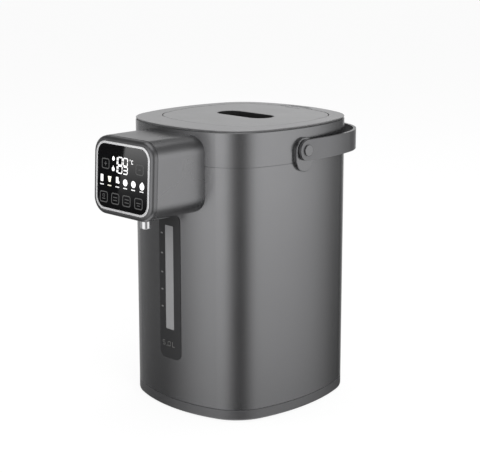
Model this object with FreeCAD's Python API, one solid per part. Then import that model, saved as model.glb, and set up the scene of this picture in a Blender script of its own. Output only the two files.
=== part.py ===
import FreeCAD, Part
import math
import os

os.makedirs("parts", exist_ok=True)
V = FreeCAD.Vector

# Millimetres, +Z up, front of the pot towards -Y, origin on the floor under the body axis.

# Driving dimensions of the body
body_half_x = 105.5
body_half_y = 113.0
side_radius = 230.0
face_radius = 175.0
corner_radius = 56.0
body_top = 327.0
top_scale = 0.995
top_shift = 0.0
foot_height = 1.0
base_seam = 13.0
shoulder_drop = 40.3
shoulder_seam = body_top - shoulder_drop
shell_wall = 1.0
ring_wall = 2.5

# Clearances
fixed_gap = 0.05
moving_gap = 0.4
pin_gap = 0.05
groove_height = 1.6
groove_depth = 2.2
seam_gap = 0.6

# Tank and mouth
tank_y = 8.5
wall_clear = 21.5
tank_radius = min(body_half_x, body_half_y) - wall_clear
tank_wall = 1.0
tank_floor = 77.0
tank_drop = 27.0
tank_top = body_top - tank_drop
tank_corner = 12.0
flange_rim = 8.0
flange_radius = tank_radius + flange_rim
collar_step = 2.0
collar_inner = tank_radius - collar_step
collar_wall = 3.0
seal_height = 2.0

# Lid
plug_gap = 3.0
plug_radius = collar_inner - plug_gap
lid_rim = 7.6
lid_half = plug_radius + lid_rim
lid_side_radius = 156.0
lid_corner = 46.0
lid_gap = 1.3
lid_plate_top = 2.5
lid_wall = 2.0
recess_depth = 12.0
plug_wall = 1.5
plug_bottom = tank_top
well_half_x = 38.0
well_half_y = 15.0
well_depth = 14.0
vent_half = 12.0
vent_set = 6.6
vent_y = tank_y + lid_half - vent_set
hinge_set = 4.9
hinge_y = tank_y + lid_half + hinge_set
hinge_drop = 4.0
knuckle_radius = 4.0
knuckle_half = 15.0
lock_travel = 5.0
lock_drop = 18.5
lock_z = body_top - lock_drop
lock_half = 1.5

# Carry handle
pivot_y = -8.75
pivot_drop = 27.0
pivot_z = body_top - pivot_drop
arm_height = 23.0
arm_thick = 3.5
plate_radius = 14.0
plate_drop = 10.0
disc_out = 3.0
disc_stand = body_half_x + disc_out
cap_radius = 6.3
cap_thick = 1.4
pin_radius = 3.0
loop_out = 16.0
loop_rear = body_half_y + loop_out
loop_start = 20.0

# Dispensing head
head_drop = 50.0
head_centre_z = body_top - head_drop
head_half_w = 48.5
head_half_h = 42.6
head_root_w = 50.2
head_corner = 18.5
head_wall = 2.5
face_reach = 65.8
face_y = -(body_half_y + face_reach)
face_tilt = 2.8
frame_depth = 7.0
frame_plate = 3.6
frame_round = 4.5
glass_half_w = 41.0
glass_half_h = 34.8
glass_corner = 12.0
glass_thick = 2.0
trim_width = 2.5
nozzle_back = 31.8
nozzle_y = face_y + nozzle_back
nozzle_radius = 6.0
nozzle_reach = 59.5
nozzle_bottom = head_centre_z - nozzle_reach

# Water gauge in the front
panel_half = 17.0
panel_bottom = 60.5
panel_drop = 48.5
panel_top = head_centre_z - panel_drop
panel_corner = 8.0
panel_proud = 0.6
panel_thick = 2.6
lens_half = 6.7
lens_bottom = 95.0
lens_end = 13.5
lens_top = panel_top - lens_end
tube_set = 13.0
tube_y = -(body_half_y - tube_set)
tube_radius = 6.0
tube_bore = 4.5
hose_bore = 4.5
hose_wall = 2.0

# Pump under the tank
pump_set = 40.0
pump_y = tube_y + pump_set
motor_radius = 17.0
motor_top = 32.0
housing_radius = 22.0
cavity_radius = 17.0
outlet_set = 10.75
outlet_y = (pump_y + tank_y) / 2 - outlet_set
elbow_z = 65.0

# Floor plate and feet
plate_low = 4.0
plate_high = 7.0
foot_radius = 10.0
foot_in = 41.5
foot_x = body_half_x - foot_in
foot_back = 47.0
foot_y = body_half_y - foot_back


def box(x0, x1, y0, y1, z0, z1):
    return Part.makeBox(x1 - x0, y1 - y0, z1 - z0, V(x0, y0, z0))


def cyl(r, z0, z1, x=0.0, y=0.0):
    return Part.makeCylinder(r, z1 - z0, V(x, y, z0), V(0, 0, 1))


def cyl_x(r, x0, x1, y, z):
    return Part.makeCylinder(r, x1 - x0, V(x0, y, z), V(1, 0, 0))


def cyl_y(r, y0, y1, x, z):
    return Part.makeCylinder(r, y1 - y0, V(x, y0, z), V(0, 1, 0))


def pipe_ring(r_out, r_in, z0, z1, x=0.0, y=0.0):
    return cyl(r_out, z0, z1, x, y).cut(cyl(r_in, z0 - 1, z1 + 1, x, y))


def fuse(shapes):
    out = shapes[0]
    for s in shapes[1:]:
        out = out.fuse(s)
    return out.removeSplitter()


def cut(shape, tools):
    for t in tools:
        shape = shape.cut(t)
    return shape


def squircle(a, b, ra, rb, rc, cy, z):
    """Closed outline of eight tangent arcs about (0, cy)."""
    x1 = a - ra
    y2 = b - rb
    r1 = ra - rc
    r2 = rb - rc
    d = math.hypot(x1, y2)
    ex = -x1 / d
    ey = y2 / d
    along = (r1 * r1 - r2 * r2 + d * d) / (2 * d)
    off = math.sqrt(r1 * r1 - along * along)
    px = x1 + ex * along - ey * off
    py = ey * along + ex * off
    if px < 0 or py < 0:
        px = x1 + ex * along + ey * off
        py = ey * along - ex * off
    t1x = x1 + (px - x1) / r1 * ra
    t1y = py / r1 * ra
    t2x = px / r2 * rb
    t2y = y2 + (py - y2) / r2 * rb
    mx = t1x + t2x - 2 * px
    my = t1y + t2y - 2 * py
    m = math.hypot(mx, my)
    mx = px + mx / m * rc
    my = py + my / m * rc
    quarter = [(a, 0.0), (t1x, t1y), (mx, my), (t2x, t2y), (0.0, b)]

    def p(x, y):
        return V(x, cy + y, z)

    q = quarter
    arcs = [
        (p(q[1][0], -q[1][1]), p(a, 0), p(q[1][0], q[1][1])),
        (p(*q[1]), p(*q[2]), p(*q[3])),
        (p(*q[3]), p(0, b), p(-q[3][0], q[3][1])),
        (p(-q[3][0], q[3][1]), p(-q[2][0], q[2][1]), p(-q[1][0], q[1][1])),
        (p(-q[1][0], q[1][1]), p(-a, 0), p(-q[1][0], -q[1][1])),
        (p(-q[1][0], -q[1][1]), p(-q[2][0], -q[2][1]), p(-q[3][0], -q[3][1])),
        (p(-q[3][0], -q[3][1]), p(0, -b), p(q[3][0], -q[3][1])),
        (p(q[3][0], -q[3][1]), p(q[2][0], -q[2][1]), p(q[1][0], -q[1][1])),
    ]
    return Part.Wire([Part.Arc(*k).toShape() for k in arcs])


def lean(z):
    return (z - base_seam) / (body_top - base_seam)


def outline(z, inset=0.0):
    s = 1.0 + (top_scale - 1.0) * lean(z)
    return squircle(
        body_half_x * s - inset,
        body_half_y * s - inset,
        side_radius * s - inset,
        face_radius * s - inset,
        corner_radius * s - inset,
        top_shift * lean(z),
        z,
    )


def hull(levels):
    """Solid through the body outline at each (height, inset)."""
    return Part.makeLoft([outline(z, t) for z, t in levels], True, True)


def wall(z0, z1, inset, thick):
    return hull([(z0, inset), (z1, inset)]).cut(
        hull([(z0 - 1, inset + thick), (z1 + 1, inset + thick)])
    )


def front_y(x, z, inset):
    s = 1.0 + (top_scale - 1.0) * lean(z)
    b = body_half_y * s - inset
    r = face_radius * s - inset
    return top_shift * lean(z) - (b - r) - math.sqrt(r * r - x * x)


def lid_prism(half, z0, z1):
    grow = half - lid_half
    w = squircle(half, half, lid_side_radius + grow, lid_side_radius + grow, lid_corner + grow, tank_y, z0)
    return Part.Face(w).extrude(V(0, 0, z1 - z0))


def rrect(hw, hh, r, z=0.0):
    """Rounded rectangle in the XY plane about the origin."""
    k = r * (1 - math.sqrt(0.5))
    pts = [
        (V(-hw + r, -hh, z), V(hw - r, -hh, z)),
        (V(hw - r, -hh, z), V(hw - k, -hh + k, z), V(hw, -hh + r, z)),
        (V(hw, -hh + r, z), V(hw, hh - r, z)),
        (V(hw, hh - r, z), V(hw - k, hh - k, z), V(hw - r, hh, z)),
        (V(hw - r, hh, z), V(-hw + r, hh, z)),
        (V(-hw + r, hh, z), V(-hw + k, hh - k, z), V(-hw, hh - r, z)),
        (V(-hw, hh - r, z), V(-hw, -hh + r, z)),
        (V(-hw, -hh + r, z), V(-hw + k, -hh + k, z), V(-hw + r, -hh, z)),
    ]
    edges = []
    for p in pts:
        if len(p) == 2:
            if (p[1] - p[0]).Length > 1e-6:
                edges.append(Part.makeLine(p[0], p[1]))
        else:
            edges.append(Part.Arc(*p).toShape())
    return Part.Wire(edges)


def rprism(hw, hh, r, z0, z1):
    return Part.Face(rrect(hw, hh, r, z0)).extrude(V(0, 0, z1 - z0))


face_place = FreeCAD.Placement(
    V(0, face_y, head_centre_z), FreeCAD.Rotation(V(1, 0, 0), 90 - face_tilt)
)
upright = FreeCAD.Rotation(V(1, 0, 0), 90)


def on_face(shape):
    """Put a piece drawn in the face plane (x, up, outward) on the head."""
    s = shape.copy()
    s.Placement = face_place.multiply(s.Placement)
    return s


def sweep(points, bends, r):
    """Round bar along straight runs joined by quarter bends."""
    edges = []
    for a, b in points:
        edges.append(Part.makeLine(a, b))
    for a, m, b in bends:
        edges.append(Part.Arc(a, m, b).toShape())
    path = Part.Wire(Part.__sortEdges__(edges))
    start = path.OrderedVertexes[0].Point
    first = path.OrderedEdges[0]
    d = first.tangentAt(first.FirstParameter)
    ring = Part.Wire(Part.makeCircle(r, start, d))
    return path.makePipeShell([ring], True, False)


def hose(points, bends, r_out, r_in):
    return sweep(points, bends, r_out).cut(sweep(points, bends, r_in))


parts = {}

# Base ring, floor plate and feet
ring_low = foot_height
lip = base_seam + 7.0
base_outer = hull(
    [(ring_low, 1.6), (ring_low + 0.7, 0.5), (ring_low + 2.0, 0.0), (base_seam - 0.4, 0.0), (base_seam, 0.4)]
)
base_inner = hull([(ring_low - 1, ring_wall), (base_seam + 1, ring_wall)])
base_lip = wall(base_seam - 2, lip, shell_wall + fixed_gap, ring_wall - shell_wall)
base_flange = wall(plate_high, plate_high + 2.5, ring_wall - 0.5, 20.0)
base_ring = fuse([base_outer.cut(base_inner), base_lip, base_flange])
screw_spots = [(sx * (foot_x + 16), sy * (foot_y + 4)) for sx in (-1, 1) for sy in (-1, 1)]
foot_spots = [(sx * foot_x, sy * foot_y) for sx in (-1, 1) for sy in (-1, 1)] + [(0.0, 0.0)]
parts["base_ring"] = cut(base_ring, [cyl(1.5, 0, 20, x, y) for x, y in screw_spots])

base_plate = hull([(plate_low, ring_wall + 0.3), (plate_high, ring_wall + 0.3)])
holes = [cyl(1.7, 0, 20, x, y) for x, y in screw_spots]
holes += [cyl(3.2, plate_low - 1, plate_low + 1.8, x, y) for x, y in screw_spots]
holes += [cyl(4.0, 0, 20, x, y) for x, y in foot_spots]
for i in range(7):
    vx = -36.0 + 12.0 * i
    slot = rprism(2.0, 16.0, 1.99, plate_low - 1, plate_high + 1)
    slot.translate(V(vx, 45.0, 0))
    holes.append(slot)
parts["base_plate"] = cut(base_plate, holes)

feet = []
for x, y in foot_spots:
    pad = cyl(foot_radius, 0, plate_low, x, y)
    low = [e for e in pad.Edges if e.BoundBox.ZMax < 0.01]
    pad = pad.makeFillet(0.8, low)
    feet.append(pad.fuse(cyl(3.95, plate_low, plate_high, x, y)).removeSplitter())
for i, f in enumerate(feet):
    parts["foot_%d" % (i + 1)] = f

screws = []
for x, y in screw_spots:
    screws.append(cyl(3.0, plate_low, plate_low + 1.8, x, y).fuse(cyl(1.45, plate_low, plate_high + 2.5, x, y)))
parts["base_screws"] = Part.makeCompound([s.removeSplitter() for s in screws])

# Steel shell with the gauge opening, the cable way into the head and the inlet hole
shell = wall(base_seam + seam_gap, shoulder_seam - seam_gap / 2, 0.0, shell_wall)
head_low = head_centre_z - head_half_h


def panel_cut(half, low, high, corner, y0, y1):
    hh = (high - low) / 2
    f = Part.Face(rrect(half, hh, corner)).extrude(V(0, 0, y1 - y0))
    f.Placement = FreeCAD.Placement(V(0, y1, (low + high) / 2), upright)
    return f


front_far = -(body_half_y + 8)
front_near = -(body_half_y - 18)
shell = cut(
    shell,
    [
        panel_cut(panel_half + 0.1, panel_bottom - 0.1, panel_top + 0.1, panel_corner, front_far, front_near),
        panel_cut(22.0, head_low + 4, shoulder_seam + 10, 4.0, front_far, front_near),
        box(-17.2, 17.2, body_half_y - 12, body_half_y + 8, 29.8, 54.2),
    ],
)
low_screws = [(-36.0, head_centre_z - 27.0), (36.0, head_centre_z - 27.0)]
top_screws = [(-34.0, head_centre_z + 26.0), (34.0, head_centre_z + 26.0)]
shell = cut(shell, [cyl_y(1.7, front_far, front_near, x, z) for x, z in low_screws])
parts["outer_shell"] = shell

# Shoulder ring with the inner seats of the handle pivots
groove_low = body_top - 1.1 - groove_height
ring_start = shoulder_seam + seam_gap / 2
top_ring = hull([(ring_start, 0.0), (groove_low - 0.7, 0.0), (groove_low, 0.5)])
top_ring = top_ring.cut(hull([(ring_start - 1, ring_wall), (groove_low + 1, ring_wall)]))
tongue = wall(shoulder_seam - 7, shoulder_seam + 2, shell_wall + fixed_gap, ring_wall - shell_wall)
boss_in = disc_stand - 15.0
boss_out = body_half_x * top_scale - 1.2
seats = [cyl_x(7.0, boss_in, boss_out, pivot_y, pivot_z), cyl_x(7.0, -boss_out, -boss_in, pivot_y, pivot_z)]
ring_hull = hull([(shoulder_seam, 0.6), (groove_low, 0.6)])
seats = [s.common(ring_hull) for s in seats]
top_ring = fuse([top_ring, tongue] + seats)
top_ring = cut(
    top_ring,
    [
        cyl_x(pin_radius + pin_gap, -130, 130, pivot_y, pivot_z),
        panel_cut(24.0, shoulder_seam - 12, shoulder_seam + 14, 4.0, front_far, front_near),
    ]
    + [cyl_y(1.7, front_far, front_near, x, z) for x, z in top_screws],
)
parts["top_ring"] = top_ring

# Top deck with the lid recess, the mouth collar and the hinge seats
ledge_top = body_top - recess_depth
ledge_low = ledge_top - 2.0
recess_half = lid_half + lid_gap
collar_low = tank_top + tank_wall + seal_height
deck = fuse(
    [
        hull([(body_top - 1.1, 0.6), (body_top - 0.8, 0.3), (body_top - 0.6, 0.35), (body_top - 0.2, 0.7), (body_top, 1.5)]),
        hull([(groove_low, groove_depth), (body_top - 1.0, groove_depth)]),
    ]
).cut(lid_prism(recess_half, groove_low - 5, body_top + 5))
skirt = wall(groove_low - 9, groove_low + 0.5, ring_wall + 0.1, 2.0)
cup = lid_prism(recess_half + 2.0, ledge_low, body_top - 0.6).cut(
    lid_prism(recess_half, ledge_top, body_top + 5)
)
mouth = cyl(collar_inner + collar_wall, collar_low, ledge_low + 0.5, 0, tank_y)
deck = fuse([deck, skirt, cup, mouth]).cut(cyl(collar_inner, collar_low - 5, ledge_top + 1, 0, tank_y))
hinge_z = body_top - hinge_drop
notch_half = knuckle_half + moving_gap
seat_out = notch_half + 5.0
for side in (-1, 1):
    x0 = min(side * notch_half, side * seat_out)
    x1 = max(side * notch_half, side * seat_out)
    deck = deck.fuse(box(x0, x1, hinge_y, hinge_y + 4.5, hinge_z - 4.2, body_top - 0.6))
    deck = deck.fuse(cyl_x(4.2, x0, x1, hinge_y, hinge_z).cut(box(-40, 40, hinge_y, hinge_y + 9, hinge_z - 20, hinge_z + 20)))
deck = cut(
    deck,
    [
        box(-notch_half, notch_half, tank_y + lid_half - 3, hinge_y + knuckle_radius + 0.8, hinge_z - 4.6, body_top + 2),
        box(-26.0, 26.0, tank_y + lid_half - 6, hinge_y - 3.4, ledge_top + 3.4, body_top + 2),
        cyl_x(1.5 + fixed_gap, -seat_out - 1, seat_out + 1, hinge_y, hinge_z),
        box(-10.0, 10.0, tank_y - collar_inner - 6, tank_y - collar_inner + 6, lock_z - 2.5, lock_z + 2.5),
    ],
)
parts["top_deck"] = deck.removeSplitter()
parts["hinge_pin"] = cyl_x(1.5, -seat_out + 0.2, seat_out - 0.2, hinge_y, hinge_z)

# Inner tank, seal, heater and support
tank_out = cyl(tank_radius + tank_wall, tank_floor - tank_wall, tank_top + tank_wall, 0, tank_y)
edge = [e for e in tank_out.Edges if e.BoundBox.ZMax < tank_floor]
tank_out = tank_out.makeFillet(tank_corner + tank_wall, edge)
tank_in = cyl(tank_radius, tank_floor, tank_top + 5, 0, tank_y)
edge = [e for e in tank_in.Edges if e.BoundBox.ZMax < tank_floor + 0.1]
tank_in = tank_in.makeFillet(tank_corner, edge)
flange = cyl(flange_radius, tank_top, tank_top + tank_wall, 0, tank_y)
tank = fuse([tank_out, flange]).cut(tank_in).cut(cyl(6.05, 60, 90, 0, outlet_y))
tank = tank.cut(cyl(3.1, 60, 90, 0, tank_y + 40))
parts["tank"] = tank
parts["tank_seal"] = pipe_ring(
    collar_inner + collar_wall + 3, collar_inner + 0.5, tank_top + tank_wall, collar_low, 0, tank_y
).cut(cyl(tank_radius - 1.0, tank_top - 20, tank_top + 2, 0, tank_y))
pad_top = tank_floor - tank_wall
parts["heater_plate"] = cut(
    cyl(60.0, pad_top - 5, pad_top, 0, tank_y),
    [cyl(11.0, 60, 90, 0, outlet_y), box(-9, 9, tank_y - 78.5, outlet_y, 60, 90), cyl(5.0, 60, 90, 0, tank_y + 40)],
)
parts["thermal_cutout"] = fuse([cyl(8.0, pad_top - 13, pad_top - 5, 25, tank_y), box(17, 33, tank_y - 3, tank_y + 3, pad_top - 16, pad_top - 13)])
parts["temp_sensor"] = fuse([cyl(3.0, pad_top - 8, tank_floor + 6, 0, tank_y + 40), cyl(4.8, pad_top - 8, pad_top, 0, tank_y + 40)])
legs = []
for sx in (-1, 1):
    for sy in (-1, 1):
        legs.append(cyl(5.0, plate_high, pad_top - 2, sx * 47.0, tank_y + sy * 47.0))
parts["tank_support"] = fuse([pipe_ring(71.5, 61.5, pad_top - 3, pad_top, 0, tank_y)] + legs)

# Pump, its motor and the hoses up to the nozzle
outlet = fuse(
    [
        cyl(6.0, elbow_z - 6.0, tank_floor, 0, outlet_y),
        cyl(9.0, pad_top - 3, pad_top, 0, outlet_y),
        cyl_y(4.5, outlet_y - 12, outlet_y, 0, elbow_z),
    ]
)
outlet = outlet.cut(cyl(4.0, elbow_z - 3.6, 90.0, 0, outlet_y)).cut(cyl_y(3.0, outlet_y - 20, outlet_y, 0, elbow_z))
parts["outlet_elbow"] = outlet
cover_top = motor_top + 16.5
bend = 9.0
s = math.sqrt(0.5)
turn_z = elbow_z - bend
suction = hose(
    [(V(0, pump_y, cover_top + 2), V(0, pump_y, turn_z)), (V(0, pump_y + bend, elbow_z), V(0, outlet_y - 6.5, elbow_z))],
    [(V(0, pump_y, turn_z), V(0, pump_y + bend - bend * s, turn_z + bend * s), V(0, pump_y + bend, elbow_z))],
    hose_bore + hose_wall,
    hose_bore,
)
parts["suction_hose"] = suction
parts["pump_bracket"] = fuse(
    [
        box(-30, 30, pump_y - 22, pump_y + 20, motor_top, motor_top + 2),
        box(-30, -24, pump_y - 10, pump_y + 10, plate_high, motor_top),
        box(24, 30, pump_y - 10, pump_y + 10, plate_high, motor_top),
    ]
).cut(cyl(3.0, 20, 60, 0, pump_y))
motor = cyl(motor_radius, plate_high + 2, motor_top, 0, pump_y)
motor = motor.makeFillet(1.5, [e for e in motor.Edges if e.BoundBox.ZMax < plate_high + 3])
motor = fuse([motor, cyl(5.0, plate_high, plate_high + 2.5, 0, pump_y)]).cut(cyl(2.0, motor_top - 9, 60, 0, pump_y))
parts["pump_motor"] = motor
house_low = motor_top + 2
house_top = motor_top + 14
house = fuse([cyl(housing_radius, house_low, house_top, 0, pump_y), cyl_y(4.5, pump_y - 33, pump_y - 18, 0, house_low + 6.5)])
house = cut(
    house,
    [
        cyl(cavity_radius, house_low + 2, house_top + 5, 0, pump_y),
        cyl(2.2, 20, 60, 0, pump_y),
        cyl_y(3.0, pump_y - 40, pump_y - 10, 0, house_low + 6.5),
    ],
)
parts["pump_housing"] = house
parts["pump_cover"] = fuse([cyl(housing_radius, house_top, cover_top, 0, pump_y), cyl(4.5, house_top, cover_top + 8, 0, pump_y)]).cut(cyl(3.0, 20, 80, 0, pump_y))
impeller = [
    cyl(15.0, house_low + 2.6, house_low + 4.0, 0, pump_y),
    cyl(4.5, house_low + 2.6, house_top - 1.6, 0, pump_y),
    cyl(1.5, motor_top - 8.5, house_top - 1.6, 0, pump_y),
]
for i in range(6):
    vane = box(3.5, 14.8, -0.7, 0.7, house_low + 3.5, house_top - 2.0)
    vane.rotate(V(0, 0, 0), V(0, 0, 1), 60.0 * i + 12)
    vane.translate(V(0, pump_y, 0))
    impeller.append(vane)
parts["pump_impeller"] = fuse(impeller)

riser_z = house_low + 6.5
riser_top = 76.0
parts["riser_hose"] = hose(
    [(V(0, pump_y - 24, riser_z), V(0, tube_y + bend, riser_z)), (V(0, tube_y, riser_z + bend), V(0, tube_y, riser_top))],
    [(V(0, tube_y + bend, riser_z), V(0, tube_y + bend - bend * s, riser_z + bend - bend * s), V(0, tube_y, riser_z + bend))],
    hose_bore + hose_wall,
    hose_bore,
)
tube_low = 84.0
tube_high = panel_top - 3.0
foot_adapter = fuse([cyl(hose_bore, riser_top - 8, riser_top + 1, 0, tube_y), cyl(8.5, riser_top, tube_low + 8, 0, tube_y)])
foot_adapter = cut(foot_adapter, [cyl(tube_radius + fixed_gap, tube_low, tube_low + 20, 0, tube_y), cyl(3.0, 50, tube_low + 1, 0, tube_y)])
parts["level_elbow"] = foot_adapter
parts["level_tube"] = pipe_ring(tube_radius, tube_bore, tube_low, tube_high, 0, tube_y)
head_adapter = fuse([cyl(8.5, tube_high - 8, tube_high + 4, 0, tube_y), cyl(hose_bore, tube_high + 3, tube_high + 13, 0, tube_y)])
head_adapter = cut(head_adapter, [cyl(tube_radius + fixed_gap, tube_high - 20, tube_high, 0, tube_y), cyl(3.0, tube_high - 1, tube_high + 40, 0, tube_y)])
parts["level_cap"] = head_adapter
arch = (tube_y - nozzle_y) / 2
arch_z = nozzle_bottom + 44.5
nozzle_top = nozzle_bottom + 26.5
parts["spout_hose"] = hose(
    [(V(0, tube_y, tube_high + 4), V(0, tube_y, arch_z)), (V(0, nozzle_y, arch_z), V(0, nozzle_y, nozzle_top + 1))],
    [(V(0, tube_y, arch_z), V(0, tube_y - arch, arch_z + arch), V(0, nozzle_y, arch_z))],
    hose_bore + hose_wall,
    hose_bore,
)

# Gauge panel and lens, bent with the front of the body
zone = hull([(panel_bottom - 10, -panel_proud), (panel_top + 10, -panel_proud)])
zone = zone.cut(hull([(panel_bottom - 12, panel_thick - panel_proud), (panel_top + 12, panel_thick - panel_proud)]))
panel = zone.common(panel_cut(panel_half, panel_bottom, panel_top, panel_corner, front_far, front_near))
lens_zone = hull([(panel_bottom - 10, -panel_proud + 0.25), (panel_top + 10, -panel_proud + 0.25)])
lens_zone = lens_zone.cut(hull([(panel_bottom - 12, 1.8), (panel_top + 12, 1.8)]))
parts["window_panel"] = panel.cut(panel_cut(lens_half, lens_bottom, lens_top, 1.5, front_far, front_near))
parts["window_lens"] = lens_zone.common(
    panel_cut(lens_half - fixed_gap, lens_bottom + fixed_gap, lens_top - fixed_gap, 1.45, front_far, front_near)
)

# Electrics on the floor plate
inlet_back = body_half_y + 0.6
inlet_front = body_half_y - 30.0
tray_y = inlet_front - 5.0
tray = fuse(
    [box(-40, 40, tray_y - 66, tray_y, plate_high + 2.5, plate_high + 4.5)]
    + [cyl(3.5, plate_high + 4, 20.0, x, y) for x in (-35, 35) for y in (tray_y - 61, tray_y - 5)]
    + [box(x, x + 3, tray_y - 66, tray_y, plate_high, plate_high + 4) for x in (-40, 37)]
)
parts["board_tray"] = tray
parts["main_board"] = box(-38, 38, tray_y - 64, tray_y - 2, 20.0, 21.6)
core = fuse(
    [
        box(-30, -2, tray_y - 58, tray_y - 30, 21.6, 26.0),
        box(-30, -2, tray_y - 58, tray_y - 30, 44.0, 50.0),
        box(-26, -6, tray_y - 60, tray_y - 28, 26.0, 44.0),
    ]
)
parts["transformer"] = core
fins = [box(8, 32, tray_y - 58, tray_y - 18, 21.6, 25.0)]
for i in range(6):
    fins.append(box(8.0 + 4.4 * i, 10.0 + 4.4 * i, tray_y - 58, tray_y - 18, 24.0, 45.0))
parts["heat_sink"] = fuse(fins)
parts["relay"] = box(8, 28, tray_y - 14, tray_y - 4, 21.6, 37.0)
inlet = box(-17, 17, inlet_front, inlet_back, 30, 54)
inlet = fuse([inlet, box(-17, 17, inlet_front, body_half_y - 24.5, plate_high, 31)])
socket = Part.Face(rrect(12.5, 7.5, 3.0)).extrude(V(0, 0, 16))
socket.Placement = FreeCAD.Placement(V(0, inlet_back + 1, 42), upright)
inlet = inlet.cut(socket)
for px in (-6.0, 0.0, 6.0):
    inlet = inlet.fuse(box(px - 0.9, px + 0.9, inlet_back - 15.5, inlet_back - 4, 40, 44))
parts["power_inlet"] = inlet.removeSplitter()

# Dispensing head, open at the front and shaped to the body at the back
front_wall = face_y - 6
root_wall = -(body_half_y - 22)


def head_section(y, grow):
    k = (y - front_wall) / (root_wall - front_wall)
    hw = head_half_w + (head_root_w - head_half_w) * k + grow
    w = rrect(hw, head_half_h + grow, head_corner + grow)
    w.Placement = FreeCAD.Placement(V(0, y, head_centre_z), upright)
    return w


head = Part.makeLoft([head_section(front_wall, 0), head_section(root_wall, 0)], True, True)
core = Part.makeLoft([head_section(front_wall, -head_wall), head_section(root_wall, -head_wall)], True, True)
front_block = on_face(Part.makeBox(200, 200, 60, V(-100, -100, -frame_depth)))
body_block = hull([(head_centre_z - 77.0, 0.0), (body_top + 3, 0.0)])
bosses = []
for x, z in low_screws + top_screws:
    bosses.append(cyl_y(4.0, front_y(x, z, 0) - 12, front_y(x, z, 0) + 6, x, z))
    reach = 1 if x > 0 else -1
    x0 = min(x, x + reach * 15)
    x1 = max(x, x + reach * 15)
    rib = box(x0, x1, front_y(x, z, 0) - 12, front_y(x, z, 0) + 6, z - 1, z + 1)
    bosses.append(rib.common(head))
head_shell = fuse([head.cut(core)] + bosses)
head_shell = cut(head_shell, [front_block, body_block])
head_shell = cut(head_shell, [cyl_y(1.5 + fixed_gap, front_y(x, z, 0) - 10, -80, x, z) for x, z in low_screws + top_screws])
head_shell = head_shell.cut(cyl(8.0 + fixed_gap, head_low - 9, head_low + 10, 0, nozzle_y))
parts["head_shell"] = head_shell
bolts = []
for x, z in low_screws + top_screws:
    t = shell_wall if z < shoulder_seam else ring_wall
    seat = front_y(x, z, t) + 0.75
    bolt = cyl_y(1.5, seat - 11, seat + 1, x, z).fuse(cyl_y(3.0, seat, seat + 2, x, z))
    bolts.append(bolt.removeSplitter())
parts["head_screws"] = Part.makeCompound(bolts)

nozzle = fuse([cyl(nozzle_radius, nozzle_bottom, nozzle_top, 0, nozzle_y), cyl(hose_bore, nozzle_top - 1, nozzle_top + 12, 0, nozzle_y)])
low = [e for e in nozzle.Edges if e.BoundBox.ZMax < nozzle_bottom + 0.1]
nozzle = nozzle.makeFillet(1.0, low)
parts["nozzle"] = nozzle.cut(cyl(3.2, nozzle_bottom - 10, nozzle_top + 20, 0, nozzle_y)).cut(cyl(4.6, nozzle_bottom - 1, nozzle_bottom + 5, 0, nozzle_y))
parts["nozzle_collar"] = fuse([cyl(10.0, head_low - 2, head_low, 0, nozzle_y), cyl(8.0, head_low - 2, head_low + 4, 0, nozzle_y)]).cut(
    cyl(nozzle_radius + fixed_gap, nozzle_bottom - 10, nozzle_top + 20, 0, nozzle_y)
)

# Front frame, trim, glass and display board
trim_w = glass_half_w + trim_width
trim_h = glass_half_h + trim_width
frame = rprism(head_half_w, head_half_h, head_corner, -frame_depth, 0.0)
frame = frame.makeFillet(frame_round, [e for e in frame.Edges if e.BoundBox.ZMin > -0.001])
lip_gap = 0.15 + (frame_depth + 4.0) * math.sin(math.radians(face_tilt))
lip_w = head_half_w - head_wall - lip_gap
lip_h = head_half_h - head_wall - lip_gap
lip_r = head_corner - head_wall - lip_gap + 0.15
frame_lip = rprism(lip_w, lip_h, lip_r, -frame_depth - 4, -frame_depth + 0.5).cut(
    rprism(lip_w - 1.5, lip_h - 1.5, lip_r - 1.5, -frame_depth - 5, -frame_depth + 1)
)
posts = [cyl(2.8, -5.9, -frame_plate + 0.2, x, y) for x in (-33.5, 33.5) for y in (-27.5, 27.5)]
frame = frame.cut(rprism(lip_w - 1.5, lip_h - 1.5, lip_r - 1.5, -frame_depth - 1, -frame_plate))
frame = fuse([frame, frame_lip] + posts)
frame = cut(
    frame,
    [
        rprism(trim_w + fixed_gap, trim_h + fixed_gap, glass_corner + trim_width, -2.4, 5),
        rprism(30.0, 24.0, 6.0, -12, 5),
    ]
    + [cyl(1.25, -8, -2.9, x, y) for x in (-33.5, 33.5) for y in (-27.5, 27.5)],
)
parts["display_frame"] = on_face(frame)
trim = rprism(trim_w, trim_h, glass_corner + trim_width, -2.4, 0.3)
trim = trim.makeFillet(0.5, [e for e in trim.Edges if e.BoundBox.ZMin > 0.29])
trim = cut(
    trim,
    [
        rprism(glass_half_w + fixed_gap, glass_half_h + fixed_gap, glass_corner, -5, 5),
        box(-0.5, 0.5, -trim_h - 1, -glass_half_h + 1, -0.6, 5),
    ],
)
parts["display_trim"] = on_face(trim)
glass = rprism(glass_half_w, glass_half_h, glass_corner, -2.4, 0.0)
glass = glass.makeFillet(0.3, [e for e in glass.Edges if e.BoundBox.ZMin > -0.001])
parts["display_glass"] = on_face(glass)
board = rprism(37.0, 31.0, 8.0, -7.5, -5.9)
board = fuse([board, box(-24, 24, 2, 20, -5.9, -3.2), box(-26, 26, -20, -14, -5.9, -4.0)])
board = cut(board, [cyl(1.3, -9, -2, x, y) for x in (-33.5, 33.5) for y in (-27.5, 27.5)])
parts["display_board"] = on_face(board)
pins = []
for x in (-33.5, 33.5):
    for y in (-27.5, 27.5):
        pins.append(on_face(cyl(1.2, -7.5, -3.2, x, y).fuse(cyl(2.6, -9.0, -7.5, x, y)).removeSplitter()))
parts["board_screws"] = Part.makeCompound(pins)

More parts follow.
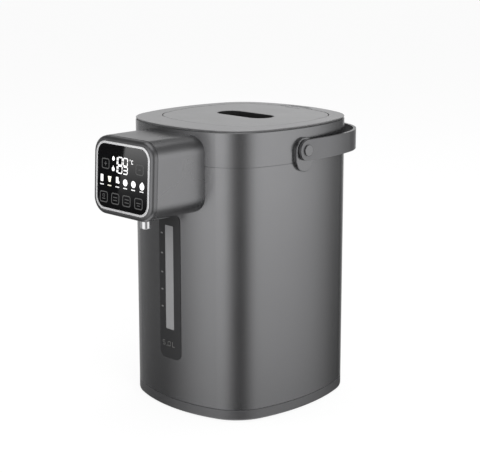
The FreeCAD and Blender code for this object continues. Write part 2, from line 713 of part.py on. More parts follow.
# Handle pivots and the carry handle
arm_in = disc_stand + moving_gap
arm_out = arm_in + arm_thick
cap_in = arm_out + moving_gap
cap_out = cap_in + cap_thick
whole = hull([(shoulder_seam - 20, 0.0), (body_top, 0.0)])
for side, name in ((-1, "left"), (1, "right")):
    x0 = min(side * 90, side * disc_stand)
    x1 = max(side * 90, side * disc_stand)
    disc = rprism(plate_radius, plate_radius + plate_drop / 2, plate_radius - 0.01, x0, x1)
    disc.Placement = FreeCAD.Placement(V(0, pivot_y, pivot_z - plate_drop / 2), FreeCAD.Rotation(V(1, 1, 1), 120))
    rim = [e for e in disc.Edges if abs(abs(e.BoundBox.XMin) - disc_stand) < 0.01 and abs(e.BoundBox.XLength) < 0.01]
    disc = disc.makeFillet(0.8, rim)
    disc = disc.cut(whole).cut(cyl_x(pin_radius + pin_gap, -130, 130, pivot_y, pivot_z))
    parts["pivot_disc_" + name] = disc
    x0 = min(side * (boss_in + 1), side * cap_in)
    x1 = max(side * (boss_in + 1), side * cap_in)
    pin = cyl_x(pin_radius, x0, x1, pivot_y, pivot_z)
    x0 = min(side * cap_in, side * cap_out)
    x1 = max(side * cap_in, side * cap_out)
    cap = cyl_x(cap_radius, x0, x1, pivot_y, pivot_z)
    rim = [e for e in cap.Edges if abs(abs(e.BoundBox.XMin) - cap_out) < 0.01 and abs(e.BoundBox.XLength) < 0.01]
    cap = cap.makeFillet(0.6, rim)
    parts["pivot_pin_" + name] = pin.fuse(cap).removeSplitter()


def loop_plan(inset):
    w = squircle(
        arm_out - inset,
        loop_rear - loop_start - inset,
        side_radius - 20 - inset,
        face_radius + 8 - inset,
        corner_radius + 14 - inset,
        loop_start,
        0.0,
    )
    return Part.Face(w)


arm_low = pivot_z - arm_height / 2
arm_high = pivot_z + arm_height / 2
loop = loop_plan(0.0).cut(loop_plan(arm_thick)).extrude(V(0, 0, arm_height))
loop.translate(V(0, 0, arm_low))
loop = loop.common(box(-200, 200, loop_start, 200, arm_low - 5, arm_high + 5))
arms = [
    box(arm_in, arm_out, pivot_y, loop_start, arm_low, arm_high),
    box(-arm_out, -arm_in, pivot_y, loop_start, arm_low, arm_high),
    cyl_x(arm_height / 2, arm_in, arm_out, pivot_y, pivot_z),
    cyl_x(arm_height / 2, -arm_out, -arm_in, pivot_y, pivot_z),
]
handle = fuse([loop] + arms).cut(cyl_x(pin_radius + pin_gap, -130, 130, pivot_y, pivot_z))
parts["handle"] = handle

# Lid
lid_top = body_top
flange_low = ledge_top + 2.0
flange_high = flange_low + 1.5
well_floor = lid_top - well_depth
cover = lid_prism(lid_half, flange_low, lid_top)
cover = cover.makeFillet(0.6, [e for e in cover.Edges if e.BoundBox.ZMin > lid_top - 0.01])
cover = cover.cut(lid_prism(lid_half - lid_wall, flange_low - 1, lid_top - lid_plate_top))
well_x = well_half_x + 1.5
well_y = well_half_y + 1.5
tub = rprism(well_x, well_y, well_y - 0.01, well_floor - 1.5, lid_top - 0.3)
tub.translate(V(0, 8.0, 0))
hollow = rprism(well_half_x, well_half_y, well_half_y - 0.01, well_floor, lid_top + 5)
hollow.translate(V(0, 8.0, 0))
lid_posts = [(sx * 48.0, tank_y + sy * 38.0) for sx in (-1, 1) for sy in (-1, 1)]
arm_block = box(-knuckle_half, knuckle_half, tank_y + lid_half - 3, hinge_y, hinge_z - 2.5, hinge_z + 2.5)
knuckle = cyl_x(knuckle_radius - 0.1, -knuckle_half, knuckle_half, hinge_y, hinge_z)
well_hole = rprism(well_x + fixed_gap, well_y + fixed_gap, well_y, well_floor - 5, lid_top + 5)
well_hole.translate(V(0, 8.0, 0))
vent = rprism(vent_half, 1.1, 1.09, lid_top - 6, lid_top + 2)
vent.translate(V(0, vent_y, 0))
cover = fuse(
    [cover, arm_block, knuckle]
    + [cyl(3.6, plug_bottom + plug_wall, lid_top - 1, x, y) for x, y in lid_posts]
)
slot_floor = rprism(8.0, 6.5, 2.0, well_floor - 3, well_floor + 1)
slot_floor.translate(V(0, -0.5, 0))
cover = cut(
    cover,
    [well_hole, vent, cyl_x(1.5 + pin_gap, -20, 20, hinge_y, hinge_z)]
    + [cyl(1.5, plug_bottom - 5, plug_bottom + 12, x, y) for x, y in lid_posts],
)
parts["lid_cover"] = cover.removeSplitter()
parts["lid_well"] = tub.cut(hollow).cut(slot_floor)

plug = cyl(plug_radius, plug_bottom, flange_high, 0, tank_y)
plug = plug.makeFillet(2.0, [e for e in plug.Edges if e.BoundBox.ZMax < plug_bottom + 0.1])
plug = plug.cut(cyl(plug_radius - plug_wall, plug_bottom + plug_wall, flange_high + 5, 0, tank_y))
rim = pipe_ring(lid_half - lid_wall - 0.3, plug_radius - plug_wall, flange_low, flange_high, 0, tank_y)
plug_front = tank_y - plug_radius
guide = box(-12, 12, plug_front + 4.5, plug_front + 40.5, plug_bottom + 1, lock_z + 2.9)
plug = fuse([plug, rim, guide])
plug = cut(
    plug,
    [box(-9.4, 9.4, plug_front - 9.5, plug_front + 50.5, lock_z - lock_half - moving_gap, lock_z + lock_half + moving_gap)] + [cyl(1.6, plug_bottom - 5, plug_bottom + 12, x, y) for x, y in lid_posts],
)
parts["lid_inner"] = plug
parts["lid_plate"] = cut(
    cyl(plug_radius - 3, plug_bottom - 1, plug_bottom, 0, tank_y),
    [cyl(1.6, plug_bottom - 5, plug_bottom + 12, x, y) for x, y in lid_posts],
)
parts["lid_gasket"] = pipe_ring(
    lid_half - lid_wall - 0.6, plug_radius + 0.1, ledge_top + moving_gap, flange_low, 0, tank_y
)
lid_bolts = []
for x, y in lid_posts:
    b = cyl(1.45, plug_bottom - 1, plug_bottom + 10, x, y).fuse(cyl(3.0, plug_bottom - 2.6, plug_bottom - 1, x, y))
    lid_bolts.append(b.removeSplitter())
parts["lid_screws"] = Part.makeCompound(lid_bolts)
tip = tank_y - plug_radius - 0.5
slider = fuse(
    [
        box(-9.0, 9.0, tip, 8.0, lock_z - lock_half, lock_z + lock_half),
        box(-7.0, 7.0, -1.5, 5.0, lock_z + 0.5, well_floor + 4),
        rprism(14.0, 3.6, 2.0, well_floor + moving_gap, well_floor + 6.0).translated(V(0, 2.0, 0)),
    ]
)
parts["lid_lock_slider"] = slider

for name, shape in parts.items():
    if shape.ShapeType != "Compound" or len(shape.Solids) == 1:
        shape = shape.Solids[0] if len(shape.Solids) == 1 else Part.makeCompound(shape.Solids)
    if not shape.isValid():
        print("not valid:", name)
    print(name, len(shape.Solids), round(shape.Volume / 1000, 2))
    shape.exportStep(os.path.join("parts", name + ".step"))
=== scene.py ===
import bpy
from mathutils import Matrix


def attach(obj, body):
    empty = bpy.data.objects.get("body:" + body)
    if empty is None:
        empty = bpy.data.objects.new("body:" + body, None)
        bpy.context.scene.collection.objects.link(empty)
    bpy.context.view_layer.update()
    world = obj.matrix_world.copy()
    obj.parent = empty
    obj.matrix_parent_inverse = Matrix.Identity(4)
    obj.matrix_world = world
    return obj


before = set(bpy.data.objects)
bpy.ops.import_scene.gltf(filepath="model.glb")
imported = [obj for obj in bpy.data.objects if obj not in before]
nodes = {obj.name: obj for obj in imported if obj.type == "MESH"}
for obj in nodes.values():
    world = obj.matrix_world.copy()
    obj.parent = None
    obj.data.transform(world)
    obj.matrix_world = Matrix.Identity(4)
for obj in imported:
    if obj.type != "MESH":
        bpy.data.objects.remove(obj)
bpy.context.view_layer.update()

import math

import bmesh
import bpy
from mathutils import Matrix, Vector

MM = 0.001


# Finishes. Noise scales are in cells per metre, and bump depths in metres.

NOISE_LOW = 0.3  # nearly all of a noise texture lies between these two values
NOISE_HIGH = 0.7


def new_mat(name):
    mat = bpy.data.materials.new(name)
    mat.use_nodes = True
    tree = mat.node_tree
    return mat, tree, tree.nodes.get("Principled BSDF")


def coords(tree, scale=(1, 1, 1)):
    place = tree.nodes.new("ShaderNodeTexCoord")
    mapping = tree.nodes.new("ShaderNodeMapping")
    mapping.inputs["Scale"].default_value = scale
    tree.links.new(place.outputs["Object"], mapping.inputs["Vector"])
    return mapping.outputs["Vector"]


def noise(tree, vec, scale, detail):
    texture = tree.nodes.new("ShaderNodeTexNoise")
    texture.inputs["Scale"].default_value = scale
    texture.inputs["Detail"].default_value = detail
    tree.links.new(vec, texture.inputs["Vector"])
    return texture.outputs["Fac"]


def shades(base, down, up):
    """The colour made darker and lighter by two factors."""
    return [c * down for c in base], [min(1.0, c * up) for c in base]


def vary_colour(tree, bsdf, vec, scale, detail, between, socket="Base Color"):
    ramp = tree.nodes.new("ShaderNodeValToRGB")
    stops = ramp.color_ramp.elements
    stops[0].position = NOISE_LOW
    stops[1].position = NOISE_HIGH
    stops[0].color = (*between[0], 1)
    stops[1].color = (*between[1], 1)
    tree.links.new(noise(tree, vec, scale, detail), ramp.inputs["Fac"])
    tree.links.new(ramp.outputs["Color"], bsdf.inputs[socket])


def vary_roughness(tree, bsdf, vec, scale, detail, low, high):
    remap = tree.nodes.new("ShaderNodeMapRange")
    remap.inputs["From Min"].default_value = NOISE_LOW
    remap.inputs["From Max"].default_value = NOISE_HIGH
    remap.inputs["To Min"].default_value = low
    remap.inputs["To Max"].default_value = high
    tree.links.new(noise(tree, vec, scale, detail), remap.inputs["Value"])
    tree.links.new(remap.outputs["Result"], bsdf.inputs["Roughness"])


def relief(tree, bsdf, vec, scale, detail, strength, depth):
    bump = tree.nodes.new("ShaderNodeBump")
    bump.inputs["Strength"].default_value = strength
    bump.inputs["Distance"].default_value = depth
    tree.links.new(noise(tree, vec, scale, detail), bump.inputs["Height"])
    tree.links.new(bump.outputs["Normal"], bsdf.inputs["Normal"])


def paint(name, base, metallic, rough, flake=0.03):
    """Fine metallic paint: flake in the colour, a slow drift in the roughness."""
    mat, tree, bsdf = new_mat(name)
    vec = coords(tree)
    between = shades(base, 1 - flake, 1 + flake)
    vary_colour(tree, bsdf, vec, scale=2600.0, detail=1.0, between=between)
    vary_roughness(tree, bsdf, vec, scale=14.0, detail=3.0, low=rough - 0.03, high=rough + 0.03)
    relief(tree, bsdf, vec, scale=1800.0, detail=1.0, strength=0.012, depth=0.0001)
    bsdf.inputs["Metallic"].default_value = metallic
    return mat


def plastic(name, base, rough, grain=0.12):
    """Moulded plastic with a fine spark-eroded grain."""
    mat, tree, bsdf = new_mat(name)
    vec = coords(tree)
    vary_colour(tree, bsdf, vec, scale=900.0, detail=2.0, between=shades(base, 0.97, 1.03))
    vary_roughness(tree, bsdf, vec, scale=20.0, detail=3.0, low=rough - 0.04, high=rough + 0.04)
    relief(tree, bsdf, vec, scale=1500.0, detail=2.0, strength=grain, depth=0.0002)
    return mat


def brushed(name, base, rough=0.3):
    """Steel with fine level lines round the axis."""
    mat, tree, bsdf = new_mat(name)
    vec = coords(tree, (30, 30, 2200))  # stretched level, so the scales below are shares of these
    vary_roughness(tree, bsdf, vec, scale=1.0, detail=2.0, low=rough - 0.05, high=rough + 0.08)
    vary_colour(tree, bsdf, vec, scale=1.3, detail=2.0, between=shades(base, 0.94, 1.04))
    relief(tree, bsdf, vec, scale=1.0, detail=2.0, strength=0.08, depth=0.0002)
    bsdf.inputs["Metallic"].default_value = 1.0
    return mat


def polished(name, base, rough):
    mat, tree, bsdf = new_mat(name)
    vec = coords(tree)
    vary_roughness(tree, bsdf, vec, scale=60.0, detail=2.0, low=rough * 0.7, high=rough * 1.4)
    bsdf.inputs["Metallic"].default_value = 1.0
    bsdf.inputs["Base Color"].default_value = (*base, 1)
    return mat


def gloss_black(name, base, rough):
    mat, tree, bsdf = new_mat(name)
    vec = coords(tree)
    vary_roughness(tree, bsdf, vec, scale=30.0, detail=2.0, low=rough * 0.8, high=rough * 1.3)
    bsdf.inputs["Base Color"].default_value = (*base, 1)
    return mat


def lit(name, colour, strength):
    """A mark with a light behind it."""
    mat, tree, bsdf = new_mat(name)
    between = shades(colour, 0.96, 1.0)
    vary_colour(
        tree, bsdf, coords(tree), scale=300.0, detail=1.0, between=between, socket="Emission Color"
    )
    bsdf.inputs["Emission Strength"].default_value = strength
    bsdf.inputs["Base Color"].default_value = (*[c * 0.5 for c in colour], 1)
    bsdf.inputs["Roughness"].default_value = 0.4
    return mat


BODY_GREY = (0.262, 0.262, 0.268)
mats = {
    "body": paint("body_paint", BODY_GREY, 0.95, 0.24),
    "shoulder": paint("shoulder_paint", BODY_GREY, 0.95, 0.25),
    "head": paint("head_paint", (0.25, 0.25, 0.256), 0.92, 0.28),
    "bezel": paint("bezel_paint", (0.185, 0.185, 0.19), 0.9, 0.32),
    "handle": paint("handle_paint", (0.22, 0.22, 0.226), 0.85, 0.33),
    "deck": plastic("deck_plastic", (0.262, 0.262, 0.266), 0.42),
    "lid": plastic("lid_plastic", (0.264, 0.264, 0.268), 0.42),
    "base": paint("base_paint", (0.20, 0.20, 0.205), 0.85, 0.36),
    "dark": plastic("dark_plastic", (0.012, 0.012, 0.012), 0.5),
    "white": plastic("pump_plastic", (0.72, 0.72, 0.70), 0.4),
    "rubber": plastic("foot_rubber", (0.02, 0.02, 0.02), 0.7, grain=0.25),
    "silicone": plastic("silicone", (0.66, 0.66, 0.63), 0.5, grain=0.08),
    "steel": brushed("tank_steel", (0.62, 0.62, 0.63)),
    "screw": brushed("screw_steel", (0.55, 0.55, 0.56), 0.35),
    "chrome": polished("nozzle_chrome", (0.86, 0.86, 0.87), 0.10),
    "trim": paint("trim_silver", (0.84, 0.84, 0.85), 0.45, 0.22, flake=0.02),
    "glass": gloss_black("display_black", (0.004, 0.004, 0.0045), 0.025),
    "panel": gloss_black("gauge_black", (0.027, 0.027, 0.028), 0.16),
    "lens": plastic("gauge_lens", (0.285, 0.285, 0.29), 0.16, grain=0.02),
    "board": plastic("board_green", (0.02, 0.13, 0.05), 0.4),
    "lit": lit("symbols_lit", (1.0, 1.0, 1.0), 1.0),
    "warm": lit("symbols_warm", (1.0, 0.98, 0.82), 1.0),
    "dim": lit("symbols_dim", (0.085, 0.085, 0.085), 0.55),
    "mark": plastic("gauge_print", (0.16, 0.16, 0.16), 0.4, grain=0.02),
    "capacity": plastic("capacity_print", (0.11, 0.11, 0.105), 0.4, grain=0.02),
}

finish_of = {
    "body": "outer_shell",
    "shoulder": "top_ring pivot_disc_left pivot_disc_right pivot_pin_left pivot_pin_right",
    "head": "head_shell",
    "bezel": "display_frame",
    "handle": "handle",
    "deck": "top_deck",
    "lid": "lid_cover",
    "base": "base_ring base_plate",
    "dark": (
        "lid_well lid_lock_slider lid_inner board_tray pump_bracket level_elbow level_cap "
        "nozzle_collar thermal_cutout relay power_inlet transformer"
    ),
    "white": "outlet_elbow pump_housing pump_cover pump_impeller",
    "rubber": "foot_1 foot_2 foot_3 foot_4 foot_5",
    "silicone": "tank_seal lid_gasket suction_hose riser_hose spout_hose",
    "steel": "tank lid_plate heater_plate tank_support temp_sensor heat_sink pump_motor",
    "screw": "base_screws head_screws board_screws lid_screws hinge_pin",
    "chrome": "nozzle",
    "trim": "display_trim",
    "glass": "display_glass",
    "panel": "window_panel",
    "lens": "window_lens level_tube",
    "board": "main_board display_board",
}
for key, names in finish_of.items():
    for name in names.split():
        node = nodes[name]
        if not node.material_slots:
            node.data.materials.append(mats[key])
        for material_slot in node.material_slots:
            material_slot.material = mats[key]

SMOOTH_UP_TO = math.radians(28)
SOFTEN_FROM = math.radians(50)
soft_edge = {"handle": 0.9, "head_shell": 0.3, "window_panel": 0.25}  # widths in mm
for name, node in nodes.items():
    for polygon in node.data.polygons:
        polygon.use_smooth = True
    node.data.set_sharp_from_angle(angle=SMOOTH_UP_TO)
    if name in soft_edge:
        edge = node.modifiers.new("edge", "BEVEL")
        edge.width = soft_edge[name] * MM
        edge.segments = 3
        edge.limit_method = "ANGLE"
        edge.angle_limit = SOFTEN_FROM
        edge.harden_normals = False


# Thin flat marks, drawn from outlines in mm

SEGMENTS = {"0": "abcdef", "1": "bc", "3": "abcdg", "5": "afgcd"}
SEGMENT_GAP = 0.12
DIGIT_SLANT = 0.06


def rounded(cx, cy, hw, hh, r, n=5):
    """A rectangle of half sizes hw and hh with corners of radius r."""
    pts = []
    for qx, qy, a0 in ((1, 1, 0), (-1, 1, 90), (-1, -1, 180), (1, -1, 270)):
        for i in range(n + 1):
            a = math.radians(a0 + 90.0 * i / n)
            x = cx + qx * (hw - r) + r * math.cos(a)
            y = cy + qy * (hh - r) + r * math.sin(a)
            pts.append((x, y))
    return pts


def disc(cx, cy, r, n=20):
    turns = [2 * math.pi * i / n for i in range(n)]
    return [(cx + r * math.cos(a), cy + r * math.sin(a)) for a in turns]


class Marks:
    """Collects flat outlines into one thin mesh. at turns an outline's point into a place."""

    def __init__(self, at):
        self.bm = bmesh.new()
        self.at = at

    def fill(self, pts):
        self.bm.faces.new([self.bm.verts.new(self.at(x, y)) for x, y in pts])

    def band(self, outer, inner):
        a = [self.bm.verts.new(self.at(x, y)) for x, y in outer]
        b = [self.bm.verts.new(self.at(x, y)) for x, y in inner]
        for i in range(len(a)):
            j = (i + 1) % len(a)
            self.bm.faces.new((a[i], a[j], b[j], b[i]))

    def frame(self, cx, cy, hw, hh, r, w):
        inner = rounded(cx, cy, hw - w, hh - w, max(r - w, 0.1))
        self.band(rounded(cx, cy, hw, hh, r), inner)

    def bar(self, cx, cy, hw, hh, r=None):
        self.fill(rounded(cx, cy, hw, hh, min(hw, hh) * 0.45 if r is None else r, 3))

    def digit(self, cx, cy, hw, hh, value, w):
        """A seven-segment digit with strokes of width w on a box of half sizes hw and hh."""
        h = w / 2
        u = hw - SEGMENT_GAP
        v = hh / 2 - SEGMENT_GAP
        flat = [(-u, 0), (-u + h, -h), (u - h, -h), (u, 0), (u - h, h), (-u + h, h)]
        upright = [(0, -v), (h, -v + h), (h, v - h), (0, v), (-h, v - h), (-h, -v + h)]
        spots = {
            "a": (0, hh, flat), "d": (0, -hh, flat), "g": (0, 0, flat),
            "f": (-hw, hh / 2, upright), "b": (hw, hh / 2, upright),
            "e": (-hw, -hh / 2, upright), "c": (hw, -hh / 2, upright),
        }
        for segment in SEGMENTS[value]:
            x, y, stroke = spots[segment]
            self.fill(
                [(cx + x + px + DIGIT_SLANT * (y + py), cy + y + py) for px, py in stroke]
            )

    def make(self, name, mat, body="pot"):
        me = bpy.data.meshes.new(name)
        bmesh.ops.recalc_face_normals(self.bm, faces=self.bm.faces)
        self.bm.to_mesh(me)
        self.bm.free()
        o = bpy.data.objects.new(name, me)
        bpy.context.scene.collection.objects.link(o)
        me.materials.append(mats[mat])
        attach(o, body)


# Marks on the display glass, in the plane of its face

GLASS_MIDDLE = Vector((0.0, -178.8, 277.0)) * MM
GLASS_TILT = math.radians(2.8)
GLASS_LIFT = 0.05
glass_plane = Matrix(
    (
        (1, 0, 0, GLASS_MIDDLE.x),
        (0, math.sin(GLASS_TILT), -math.cos(GLASS_TILT), GLASS_MIDDLE.y),
        (0, math.cos(GLASS_TILT), math.sin(GLASS_TILT), GLASS_MIDDLE.z),
        (0, 0, 0, 1),
    )
)


def on_glass(x, y):
    return glass_plane @ Vector((x * MM, y * MM, GLASS_LIFT * MM))


CAPTION_Y = -10.1
CAPTION_STEPS = (-2.4, -0.8, 0.8, 2.4)


def caption(marks, cx):
    """Four plain bars in the place of a small word."""
    for step in CAPTION_STEPS:
        marks.bar(cx + step, CAPTION_Y, 0.55, 0.6, 0.2)


DIGIT_COLUMNS = (-12.0, -3.7, 5.0)
DIGIT_ROWS = (("100", 18.0, 4.1), ("103", 9.0, 3.8))  # digits, middle, half height

bright = Marks(on_glass)
for value, cy, hh in DIGIT_ROWS:
    for cx, digit in zip(DIGIT_COLUMNS, value):
        bright.digit(cx, cy, 3.3, hh, digit, 1.2)
# The unit: a small ring and three strokes
bright.frame(12.6, 21.0, 0.9, 0.9, 0.88, 0.4)
bright.bar(16.0, 20.8, 1.2, 0.35)
bright.bar(16.0, 17.4, 1.2, 0.35)
bright.bar(14.9, 19.1, 0.35, 1.9)
# The two small signs left of the digits
bright.fill(
    [(-16.8, 18.3), (-14.6, 17.2), (-12.6, 18.5), (-13.0, 21.2), (-14.9, 22.4), (-16.4, 20.9)]
)
bright.fill(disc(-14.8, 8.4, 2.3))
bright.bar(-14.8, 11.4, 0.5, 0.7)
# The row of drinks: bottle, mug with its foot, two bowls and a drop
bright.bar(-33.4, -3.1, 2.2, 3.8, 0.7)
bright.bar(-8.0, -2.6, 2.0, 3.3, 0.8)
bright.fill([(-9.6, -5.8), (-4.6, -6.2), (-4.2, -4.2), (-6.4, -2.6), (-9.6, -3.2)])
bright.fill(disc(5.2, -3.9, 3.6))
bright.fill(disc(18.4, -3.9, 3.6))
bright.fill(disc(32.0, -4.6, 3.7))
bright.fill([(30.0, -1.9), (32.3, 0.5), (34.6, -1.9)])
for cx in (-33.4, -7.6, 5.2, 18.2, 31.6):
    caption(bright, cx)
bright.make("display_symbols_lit", "lit")

# The chosen drink, a cup
warm = Marks(on_glass)
warm.fill(
    [(-23.6, -0.2), (-17.6, -0.2), (-18.6, -3.2), (-19.2, -6.2), (-22.0, -6.2), (-22.6, -3.2)]
)
caption(warm, -20.6)
warm.make("display_symbol_warm", "warm")

# The outlined keys: plus and minus above, four in a row below
SIDE_KEY = {"hw": 6.3, "hh": 5.7, "r": 2.6, "w": 1.1}
ROW_KEY = {"hw": 6.6, "hh": 6.1, "r": 2.8, "w": 1.1}
ROW_KEY_Y = -23.4
TWO_BAR_KEYS = (  # middle of the key, then its bars
    (-10.8, ((-10.8, -22.0, 3.2, 0.5), (-10.8, -25.2, 3.2, 0.45))),
    (7.6, ((8.2, -21.8, 3.4, 0.5), (8.2, -25.2, 3.4, 0.45))),
    (27.0, ((27.0, -22.9, 3.4, 0.5), (27.0, -25.6, 2.4, 0.4))),
)

dim = Marks(on_glass)
dim.frame(-27.6, 12.9, **SIDE_KEY)
dim.bar(-27.6, 12.9, 2.0, 0.5)
dim.bar(-27.6, 14.3, 0.5, 0.85)
dim.bar(-27.6, 11.5, 0.5, 0.85)
dim.frame(27.9, 12.6, **SIDE_KEY)
dim.bar(27.9, 12.6, 2.0, 0.5)
dim.frame(-30.0, ROW_KEY_Y, **ROW_KEY)
dim.frame(-30.0, -21.9, 1.9, 1.6, 0.7, 0.6)
dim.bar(-30.0, -25.4, 2.6, 0.45)
for key_x, bars in TWO_BAR_KEYS:
    dim.frame(key_x, ROW_KEY_Y, **ROW_KEY)
    for bar in bars:
        dim.bar(*bar)
dim.make("display_symbols_dim", "dim")


# Printed marks on the gauge panel, bent with the front of the body

BODY_FOOT = 13.0
BODY_RISE = 314.0
BODY_LEAN = 0.005  # how much smaller the outline is at the top
BODY_HALF_Y = 113.0
FRONT_RADIUS = 175.0
PRINT_OUT = 0.66  # how far the print stands out from the body's face


def on_front(x, z):
    share = 1.0 - BODY_LEAN * (z - BODY_FOOT) / BODY_RISE
    half = BODY_HALF_Y * share
    radius = FRONT_RADIUS * share
    y = -(half - radius) - math.sqrt((radius + PRINT_OUT) ** 2 - x * x)
    return Vector((x * MM, y * MM, z * MM))


scale_marks = Marks(on_front)
for z in (205.0, 182.0, 160.0, 140.0, 120.0):
    scale_marks.bar(-12.2, z, 1.7, 0.8)
scale_marks.make("gauge_marks", "mark")

CAPACITY_Z = 77.6
capacity = Marks(on_front)
capacity.digit(-10.4, CAPACITY_Z, 2.1, 2.5, "5", 0.95)
capacity.fill(disc(-5.3, 74.6, 0.7, 10))
capacity.digit(-1.4, CAPACITY_Z, 2.1, 2.5, "0", 0.95)
capacity.bar(4.0, CAPACITY_Z, 0.5, 3.0)
capacity.bar(5.7, 75.0, 1.9, 0.5)
capacity.make("gauge_capacity", "capacity")


# Stage: floor and world, which the camera and the reflections see as white

WHITE = (1, 1, 1, 1)
WORLD_LIGHT = 0.62
WORLD_SEEN = 1.0
FLOOR_HALF = 12
FLOOR_GLOW = 1.03
FLOOR_WHITE_SHARE = 0.84  # the rest is the lit floor, which carries the pot's shadow


def quad(name, pts, mat):
    me = bpy.data.meshes.new(name)
    me.from_pydata(pts, [], [tuple(range(len(pts)))])
    o = bpy.data.objects.new(name, me)
    bpy.context.scene.collection.objects.link(o)
    me.materials.append(mat)
    return o


def math_node(tree, operation, first, second):
    """A math node. second is a socket or a plain number."""
    step = tree.nodes.new("ShaderNodeMath")
    step.operation = operation
    tree.links.new(first, step.inputs[0])
    if isinstance(second, float):
        step.inputs[1].default_value = second
    else:
        tree.links.new(second, step.inputs[1])
    return step.outputs[0]


def seen_directly(tree):
    """One for camera, glossy and transmission rays, and zero for the rest."""
    path = tree.nodes.new("ShaderNodeLightPath").outputs
    shown = math_node(tree, "MAXIMUM", path["Is Camera Ray"], path["Is Glossy Ray"])
    return math_node(tree, "MAXIMUM", shown, path["Is Transmission Ray"])


def mix_shaders(tree, share, first, second, surface):
    mix = tree.nodes.new("ShaderNodeMixShader")
    tree.links.new(share, mix.inputs[0])
    tree.links.new(first, mix.inputs[1])
    tree.links.new(second, mix.inputs[2])
    tree.links.new(mix.outputs[0], surface)


def background(tree, strength):
    node = tree.nodes.new("ShaderNodeBackground")
    node.inputs["Color"].default_value = WHITE
    node.inputs["Strength"].default_value = strength
    return node.outputs[0]


world = bpy.data.worlds.new("studio")
bpy.context.scene.world = world
world.use_nodes = True
sky = world.node_tree
sky.nodes.clear()
sky_out = sky.nodes.new("ShaderNodeOutputWorld")
mix_shaders(
    sky,
    seen_directly(sky),
    background(sky, WORLD_LIGHT),
    background(sky, WORLD_SEEN),
    sky_out.inputs["Surface"],
)

floor_mat, floor_tree, floor_bsdf = new_mat("floor_pale")
floor_bsdf.inputs["Base Color"].default_value = (0.93, 0.93, 0.93, 1)
floor_bsdf.inputs["Roughness"].default_value = 0.9
floor_bsdf.inputs["Specular IOR Level"].default_value = 0.1
floor_glow = floor_tree.nodes.new("ShaderNodeEmission")
floor_glow.inputs["Strength"].default_value = FLOOR_GLOW
mix_shaders(
    floor_tree,
    math_node(floor_tree, "MULTIPLY", seen_directly(floor_tree), FLOOR_WHITE_SHARE),
    floor_bsdf.outputs[0],
    floor_glow.outputs[0],
    floor_tree.nodes["Material Output"].inputs["Surface"],
)
floor = quad(
    "floor",
    [(x * FLOOR_HALF, y * FLOOR_HALF, 0) for x, y in ((-1, -1), (1, -1), (1, 1), (-1, 1))],
    floor_mat,
)
floor.visible_glossy = False


# Stage: soft cards round the pot, seen only by reflections

RING_RADIUS = 0.9
RING_STEPS = 144
RING_LOW = -1.0
RING_TOP = 1.6
RING_POWER = 1.25

# How bright the ring is at each azimuth, in degrees, and then at each height
ring_azimuths = [
    (-180, 0.40), (-160, 0.20), (-138, 0.17), (-131, 0.24), (-122, 0.40), (-112, 0.64),
    (-100, 0.86), (-82, 0.98), (-70, 0.92), (-61, 0.62), (-50, 0.24), (-39, 0.11),
    (-29, 0.22), (-16, 0.58), (-4, 0.84), (12, 0.90), (30, 0.84), (46, 0.70), (58, 0.48),
    (70, 0.22), (82, 0.10), (92, 0.14), (104, 0.50), (118, 0.80), (134, 0.60), (150, 0.62),
    (180, 0.42),
]
ring_heights = [
    (RING_LOW, 0.30), (-0.75, 0.26), (-0.55, 0.26), (-0.40, 0.46), (-0.23, 0.78),
    (-0.08, 0.95), (0.025, 1.06), (0.11, 1.24), (0.50, 1.24),
    (0.68, 0.70), (0.90, 0.34), (RING_TOP, 0.20),
]


def emitter(name):
    """A material of one emission shader, for a card."""
    mat = bpy.data.materials.new(name)
    mat.use_nodes = True
    tree = mat.node_tree
    tree.nodes.clear()
    glow = tree.nodes.new("ShaderNodeEmission")
    surface = tree.nodes.new("ShaderNodeOutputMaterial").inputs["Surface"]
    tree.links.new(glow.outputs[0], surface)
    return mat, tree, glow


def card_place(tree):
    """X along the card and Y up it, both from 0 to 1."""
    place = tree.nodes.new("ShaderNodeTexCoord")
    split = tree.nodes.new("ShaderNodeSeparateXYZ")
    tree.links.new(place.outputs["UV"], split.inputs[0])
    return split.outputs


def grey_ramp(tree, value, stops):
    node = tree.nodes.new("ShaderNodeValToRGB")
    node.color_ramp.interpolation = "LINEAR"
    elements = node.color_ramp.elements
    for i, (x, v) in enumerate(stops):
        if i == 0:
            element = elements[0]
            element.position = x
        elif i == len(stops) - 1:
            element = elements[len(elements) - 1]
            element.position = x
        else:
            element = elements.new(x)
        element.color = (v, v, v, 1)
    tree.links.new(value, node.inputs["Fac"])
    return node.outputs["Color"]


def round_the_axis(radius, degrees, z):
    a = math.radians(degrees)
    return radius * math.cos(a), radius * math.sin(a), z


def only_reflected(o):
    o.visible_camera = False
    o.visible_diffuse = False
    o.visible_transmission = False
    o.visible_shadow = False


ring_mat, ring_tree, ring_glow = emitter("studio_cards")
place = card_place(ring_tree)
by_azimuth = [((a + 180.0) / 360.0, v) for a, v in ring_azimuths]
by_height = [
    ((z - RING_LOW) / (RING_TOP - RING_LOW), v / RING_POWER) for z, v in ring_heights
]
product = ring_tree.nodes.new("ShaderNodeMix")
product.data_type = "RGBA"
product.blend_type = "MULTIPLY"
product.inputs["Factor"].default_value = 1.0
ring_tree.links.new(grey_ramp(ring_tree, place["X"], by_azimuth), product.inputs["A"])
ring_tree.links.new(grey_ramp(ring_tree, place["Y"], by_height), product.inputs["B"])
ring_glow.inputs["Strength"].default_value = RING_POWER
ring_tree.links.new(product.outputs["Result"], ring_glow.inputs["Color"])

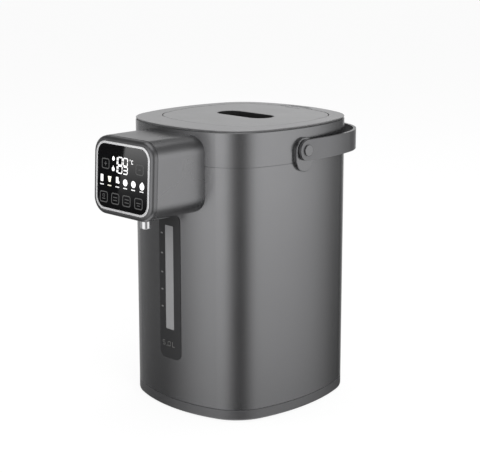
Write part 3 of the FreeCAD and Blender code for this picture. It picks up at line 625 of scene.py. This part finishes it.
ring_points = []
for i in range(RING_STEPS + 1):
    for z in (RING_LOW, RING_TOP):
        ring_points.append(round_the_axis(RING_RADIUS, -180 + 360.0 * i / RING_STEPS, z))
ring_faces = [(2 * i, 2 * i + 2, 2 * i + 3, 2 * i + 1) for i in range(RING_STEPS)]
me = bpy.data.meshes.new("studio_cards")
me.from_pydata(ring_points, [], ring_faces)
layer = me.uv_layers.new(name="UVMap")
for corner in me.loops:
    vertex = corner.vertex_index
    layer.data[corner.index].uv = ((vertex // 2) / RING_STEPS, float(vertex % 2))
tent = bpy.data.objects.new("studio_cards", me)
bpy.context.scene.collection.objects.link(tent)
me.materials.append(ring_mat)
only_reflected(tent)


# Stage: a bright card that the right part of the display glass mirrors, and a dark
# one behind it for the rest of the glass

GLASS_CARD_FADE = 1.9
GLASS_CARD_POWER = 3.2
GLASS_FLAG_POWER = 0.04


def studio_card(name, spots, mat, radius):
    o = quad(name, [round_the_axis(radius, a, z) for a, z in spots], mat)
    card_layer = o.data.uv_layers.new(name="UVMap")
    for li, spot in enumerate(((0, 0), (1, 0), (1, 1), (0, 1))):
        card_layer.data[li].uv = spot
    only_reflected(o)


card_mat, card_tree, card_glow = emitter("glass_card")
fade = math_node(card_tree, "POWER", card_place(card_tree)["Y"], GLASS_CARD_FADE)
power = math_node(card_tree, "MULTIPLY", fade, GLASS_CARD_POWER)
card_tree.links.new(power, card_glow.inputs["Strength"])
flag_mat, _, flag_glow = emitter("glass_flag")
flag_glow.inputs["Strength"].default_value = GLASS_FLAG_POWER
studio_card(
    "glass_card",
    ((-131.05, 0.118), (-124.0, 0.118), (-124.0, 0.26), (-130.15, 0.26)),
    card_mat,
    0.87,
)
studio_card(
    "glass_flag",
    ((-141.0, 0.08), (-122.0, 0.08), (-122.0, 0.30), (-141.0, 0.30)),
    flag_mat,
    0.885,
)


# Stage: lamps without highlights, and the camera

def area(name, loc, target, size, power):
    lamp = bpy.data.lights.new(name, "AREA")
    lamp.shape = "RECTANGLE"
    lamp.size = size
    lamp.size_y = size
    lamp.energy = power
    lamp.specular_factor = 0.0
    o = bpy.data.objects.new(name, lamp)
    o.location = loc
    o.rotation_euler = (Vector(target) - Vector(loc)).to_track_quat("-Z", "Y").to_euler()
    bpy.context.scene.collection.objects.link(o)
    o.visible_glossy = False


area("key", (1.6, -0.9, 1.9), (0, 0, 0.2), 1.4, 26.0)
area("fill", (-1.4, -1.6, 1.3), (0, 0, 0.2), 1.2, 8.0)
area("over", (0.0, 0.6, 2.2), (0, 0, 0.3), 1.6, 14.0)

CAMERA_AT = (0.9961, -1.0117, 0.5254)
CAMERA_AZIMUTH = 44.534  # degrees
CAMERA_DOWN = 12.484

cam = bpy.data.cameras.new("camera")
cam.sensor_width = 36.0
cam.lens = 93.07
cam.shift_x = -0.0019
cam.shift_y = -0.0483
cam.clip_end = 50.0
camera = bpy.data.objects.new("camera", cam)
camera.location = CAMERA_AT
turn = Matrix.Rotation(math.radians(CAMERA_AZIMUTH), 4, "Z")
turn = turn @ Matrix.Rotation(math.radians(90 - CAMERA_DOWN), 4, "X")
camera.rotation_euler = turn.to_euler()
bpy.context.scene.collection.objects.link(camera)
bpy.context.scene.camera = camera
bpy.context.scene.view_settings.view_transform = "Standard"
